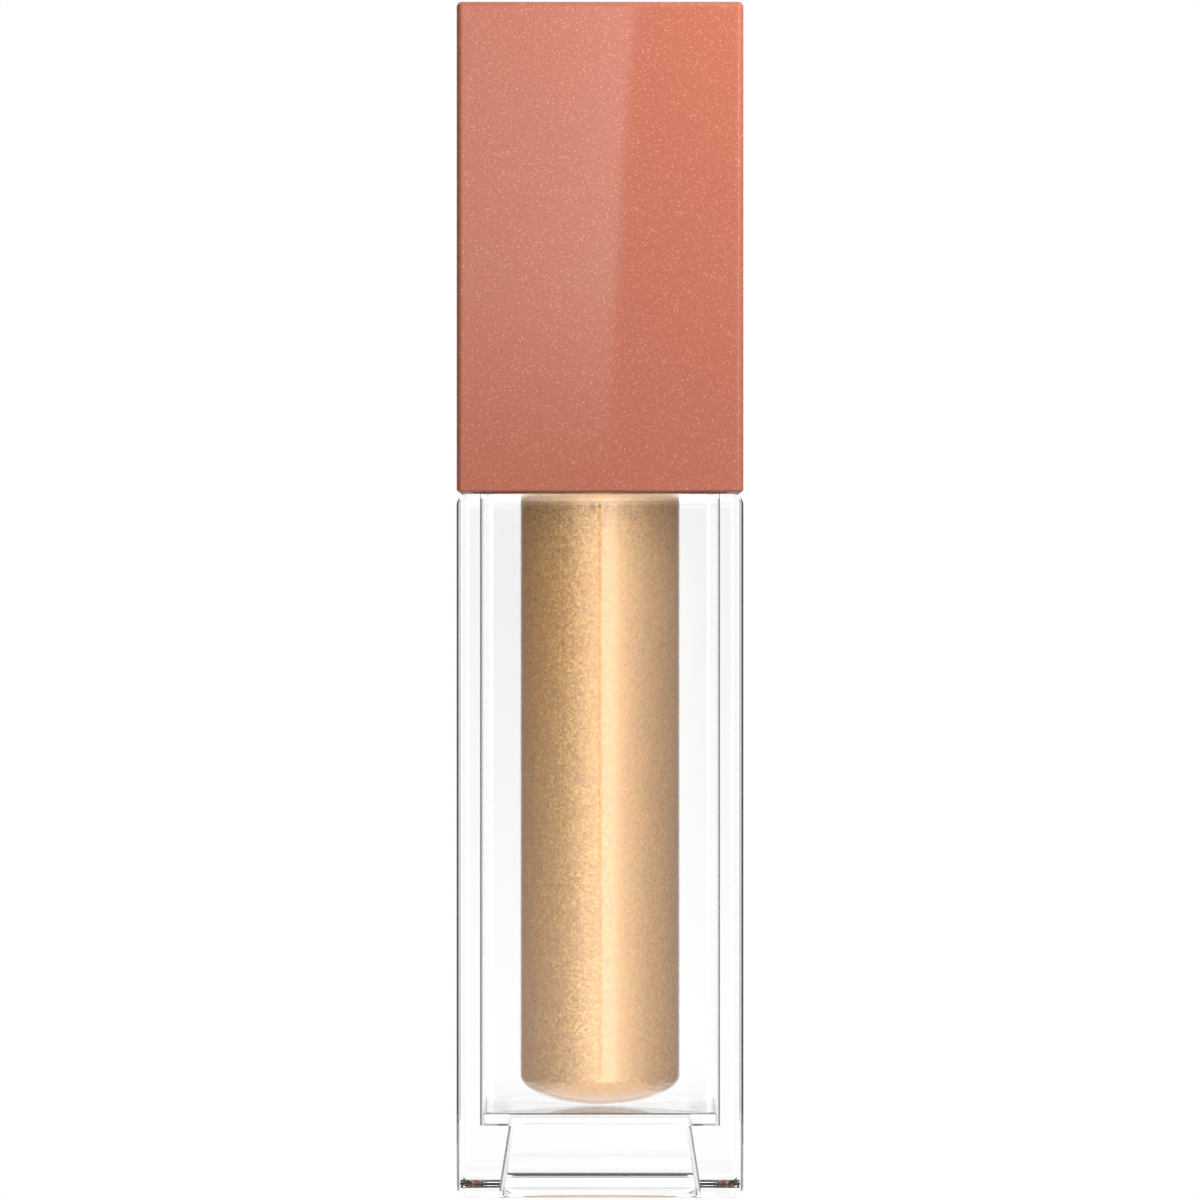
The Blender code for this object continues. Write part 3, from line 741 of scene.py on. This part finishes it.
def stage_mesh(name, points, faces, material):
    """A mesh that lights or backs the object and is no part of it."""
    mesh = bpy.data.meshes.new(name)
    mesh.from_pydata(points, [], faces)
    mesh.materials.append(material)
    card = bpy.data.objects.new(name, mesh)
    bpy.context.scene.collection.objects.link(card)
    return card


def white_if_unreflected(nodes, links, path, colour, white):
    """The colour for a reflected ray, one whose diffuse depth plus glossy depth is at least 1, and
    plain white at the given level for any other."""
    bounced = nodes.new("ShaderNodeMath")
    bounced.operation = "ADD"
    links.new(path.outputs["Diffuse Depth"], bounced.inputs[0])
    links.new(path.outputs["Glossy Depth"], bounced.inputs[1])
    straight = nodes.new("ShaderNodeMath")
    straight.operation = "LESS_THAN"
    straight.inputs[1].default_value = 0.5
    links.new(bounced.outputs["Value"], straight.inputs[0])
    seen = nodes.new("ShaderNodeMix")
    seen.data_type = "RGBA"
    seen.inputs["B"].default_value = (white, white, white, 1.0)
    links.new(straight.outputs["Value"], seen.inputs["Factor"])
    links.new(colour, seen.inputs["A"])
    return seen.outputs["Result"]


TABLE_REACH = 3.0
TABLE_DROP = 0.2 * MM
table_white, *_ = glow("white table")
table_corners = [(-TABLE_REACH, -TABLE_REACH, -TABLE_DROP), (TABLE_REACH, -TABLE_REACH, -TABLE_DROP),
                 (TABLE_REACH, TABLE_REACH, -TABLE_DROP), (-TABLE_REACH, TABLE_REACH, -TABLE_DROP)]
table = stage_mesh("table", table_corners, [(0, 1, 2, 3)], table_white)
table.visible_glossy = table.visible_diffuse = table.visible_transmission = False

# The surround's brightness goes by heading, in degrees from the front, towards +X. It blends to
# one level overhead and underfoot. Open surfaces reflect a share of it, and clear plastic all.
WORLD_TOP = 4.0
OVERHEAD = 1.7
OPEN_SHARE = 0.27
SURROUND = [(-180, 1.0), (-165, 1.0), (-150, 0.2), (-60, 0.5), (-38, 1.35), (-20, 2.3), (-4, 2.5),
            (9, 3.9), (20, 3.9), (28, 2.0), (45, 1.6), (75, 0.7), (150, 0.2), (165, 1.0)]
world = bpy.data.worlds.new("studio surround")
bpy.context.scene.world = world
world.use_nodes = True
nodes, links = world.node_tree.nodes, world.node_tree.links
background = nodes["Background"]
background.inputs["Strength"].default_value = WORLD_TOP
place = nodes.new("ShaderNodeTexCoord")
heading = nodes.new("ShaderNodeSeparateXYZ")
links.new(place.outputs["Generated"], heading.inputs["Vector"])
towards_front = nodes.new("ShaderNodeMath")
towards_front.operation = "MULTIPLY"
towards_front.inputs[1].default_value = -1.0
links.new(heading.outputs["Y"], towards_front.inputs[0])
azimuth = nodes.new("ShaderNodeMath")
azimuth.operation = "ARCTAN2"
links.new(heading.outputs["X"], azimuth.inputs[0])
links.new(towards_front.outputs["Value"], azimuth.inputs[1])
turn = nodes.new("ShaderNodeMapRange")
turn.inputs["From Min"].default_value = -math.pi
turn.inputs["From Max"].default_value = math.pi
links.new(azimuth.outputs["Value"], turn.inputs["Value"])
surround = nodes.new("ShaderNodeValToRGB")
set_stops(surround.color_ramp,
          [(degrees / 360 + 0.5, (value / WORLD_TOP,) * 3) for degrees, value in SURROUND])
links.new(turn.outputs["Result"], surround.inputs["Fac"])
slope = nodes.new("ShaderNodeMath")
slope.operation = "ABSOLUTE"
links.new(heading.outputs["Z"], slope.inputs[0])
steep = nodes.new("ShaderNodeMapRange")
steep.inputs["From Min"].default_value = 0.3
steep.inputs["From Max"].default_value = 0.5
links.new(slope.outputs["Value"], steep.inputs["Value"])
all_round = nodes.new("ShaderNodeMix")
all_round.data_type = "RGBA"
all_round.inputs["B"].default_value = (OVERHEAD / WORLD_TOP,) * 3 + (1.0,)
links.new(steep.outputs["Result"], all_round.inputs["Factor"])
links.new(surround.outputs["Color"], all_round.inputs["A"])
path = nodes.new("ShaderNodeLightPath")
share = nodes.new("ShaderNodeMapRange")
share.inputs["To Min"].default_value = OPEN_SHARE
share.inputs["To Max"].default_value = 1.0
links.new(path.outputs["Transmission Depth"], share.inputs["Value"])
dimmed = nodes.new("ShaderNodeVectorMath")
dimmed.operation = "SCALE"
links.new(all_round.outputs["Result"], dimmed.inputs[0])
links.new(share.outputs["Result"], dimmed.inputs["Scale"])
seen = white_if_unreflected(nodes, links, path, dimmed.outputs["Vector"], 1.0 / WORLD_TOP)
links.new(seen, background.inputs["Color"])

# The card behind the camera, in millimetres but for its place along Y. Its light is stored at its
# mesh points. A ray deep inside the clear plastic meets an even light in its place.
CARD_Y = -0.6
CARD_HALF = 24
CARD_BOTTOM, CARD_TOP = -70, 340
CARD_COLUMNS, CARD_ROWS = 193, 206
EDGE_X, EDGE_LEAN, EDGE_BOW, EDGE_HEIGHT = 2.62, 0.045, 0.0005, 92.6
EDGE_FEATHER = 0.25
FOOT_HEIGHT, FOOT_RISE = 62, 34
TOP_FADE_HEIGHTS, TOP_FADE = [160, 320], [1.0, 0.45]
SOFTBOX_LEVEL, SOFTBOX_GLOW, GLOW_REACH = 1.1, 1.1, 9
HAZE_HEIGHTS = [-20, 12, 44, 64]
HAZE, RIGHT_HAZE = [0.9, 0.45, 0.1, 0.05], [0.1, 0.4, 0.7, 0.0]
RIGHT_HAZE_EDGE, RIGHT_HAZE_FEATHER = 18.5, 7.5
INSIDE_LIGHT = 1.1


def card_light(x, z):
    """Brightness of the front card at x and z in millimetres: the larger of a softbox and a haze.
    The softbox lies left of the curve edge = EDGE_X + EDGE_LEAN u + EDGE_BOW u^2, with
    u = z - EDGE_HEIGHT, and gives SOFTBOX_LEVEL + SOFTBOX_GLOW exp(-distance / GLOW_REACH), times
    a feather at the edge, a rise from its foot and a fade towards its top. The haze is a level
    for each height, with one more added on the right."""
    up = z - EDGE_HEIGHT
    edge = EDGE_X + EDGE_LEAN * up + EDGE_BOW * up ** 2
    feather = np.clip((edge - x) / EDGE_FEATHER, 0, 1)
    rise = np.clip((z - FOOT_HEIGHT) / FOOT_RISE, 0, 1)
    fade = np.interp(z, TOP_FADE_HEIGHTS, TOP_FADE)
    level = SOFTBOX_LEVEL + SOFTBOX_GLOW * np.exp(np.minimum(x - edge, 0) / GLOW_REACH)
    on_right = np.clip((RIGHT_HAZE_EDGE - x) / RIGHT_HAZE_FEATHER, 0, 1) * (x > 0)
    haze = np.interp(z, HAZE_HEIGHTS, HAZE) + on_right * np.interp(z, HAZE_HEIGHTS, RIGHT_HAZE)
    return np.maximum(feather * rise * level * fade, haze)


card_x, card_z = np.meshgrid(np.linspace(-CARD_HALF, CARD_HALF, CARD_COLUMNS),
                             np.linspace(CARD_BOTTOM, CARD_TOP, CARD_ROWS))
card_points = np.stack(
    [card_x.ravel() * MM, np.full(card_x.size, CARD_Y), card_z.ravel() * MM], 1
)
corner = np.arange(CARD_ROWS - 1)[:, None] * CARD_COLUMNS + np.arange(CARD_COLUMNS - 1)[None, :]
corner = corner.ravel()
card_faces = np.stack(
    [corner, corner + 1, corner + CARD_COLUMNS + 1, corner + CARD_COLUMNS], 1
)
front_glow, nodes, links, emission = glow("front card")
light_map = nodes.new("ShaderNodeAttribute")
light_map.attribute_name = "light"
path = nodes.new("ShaderNodeLightPath")
deep = nodes.new("ShaderNodeMath")
deep.operation = "GREATER_THAN"
deep.inputs[1].default_value = 5.5
links.new(path.outputs["Transmission Depth"], deep.inputs[0])
inner = nodes.new("ShaderNodeMix")
inner.data_type = "RGBA"
inner.inputs["B"].default_value = (INSIDE_LIGHT, INSIDE_LIGHT, INSIDE_LIGHT, 1.0)
links.new(deep.outputs["Value"], inner.inputs["Factor"])
links.new(light_map.outputs["Color"], inner.inputs["A"])
seen = white_if_unreflected(nodes, links, path, inner.outputs["Result"], 1.0)
links.new(seen, emission.inputs["Color"])
front_card = stage_mesh("front card", card_points, card_faces, front_glow)
brightness = card_light(card_x, card_z).ravel()
layer = front_card.data.color_attributes.new("light", "FLOAT_COLOR", "POINT")
layer.data.foreach_set("color", np.stack([brightness] * 3 + [np.ones(card_x.size)], 1).ravel())
front_card.visible_camera = front_card.visible_diffuse = False
front_card.visible_shadow = False


def soft_light(name, place, aim, side, energy):
    """A square soft light turned to face a point, kept out of sharp reflections."""
    data = bpy.data.lights.new(name, "AREA")
    data.shape = "SQUARE"
    data.size = side
    data.energy = energy
    light = bpy.data.objects.new(name, data)
    light.location = place
    across, along, up = np.array(aim) - np.array(place)
    flat = math.hypot(across, along)
    light.rotation_euler = (math.atan2(flat, -up), 0, math.atan2(-across, along))
    light.visible_camera = light.visible_glossy = light.visible_transmission = False
    bpy.context.scene.collection.objects.link(light)


soft_light("right front light", (0.062, -0.062, 0.125), (0.0, 0.0, 0.072), 0.04, 0.12)
soft_light("right back light", (0.16, 0.20, 0.12), (0.0, 0.0, 0.065), 0.12, 0.45)
soft_light("left back light", (-0.18, 0.16, 0.10), (0.0, 0.0, 0.065), 0.12, 0.40)

CAMERA_REACH = 0.512
VIEW_HEIGHT = 0.0878
SENSOR = 36.0
camera_data = bpy.data.cameras.new("camera")
camera = bpy.data.objects.new("camera", camera_data)
bpy.context.scene.collection.objects.link(camera)
camera.location = (0.0, -(half_width + CAMERA_REACH), cad_box[1][2] / 2)
camera.rotation_euler = (math.pi / 2, 0.0, 0.0)
camera_data.sensor_width = SENSOR
camera_data.lens = SENSOR * CAMERA_REACH / VIEW_HEIGHT
camera_data.clip_start = 0.01
camera_data.clip_end = 20.0
bpy.context.scene.camera = camera
bpy.context.scene.view_settings.view_transform = "Standard"
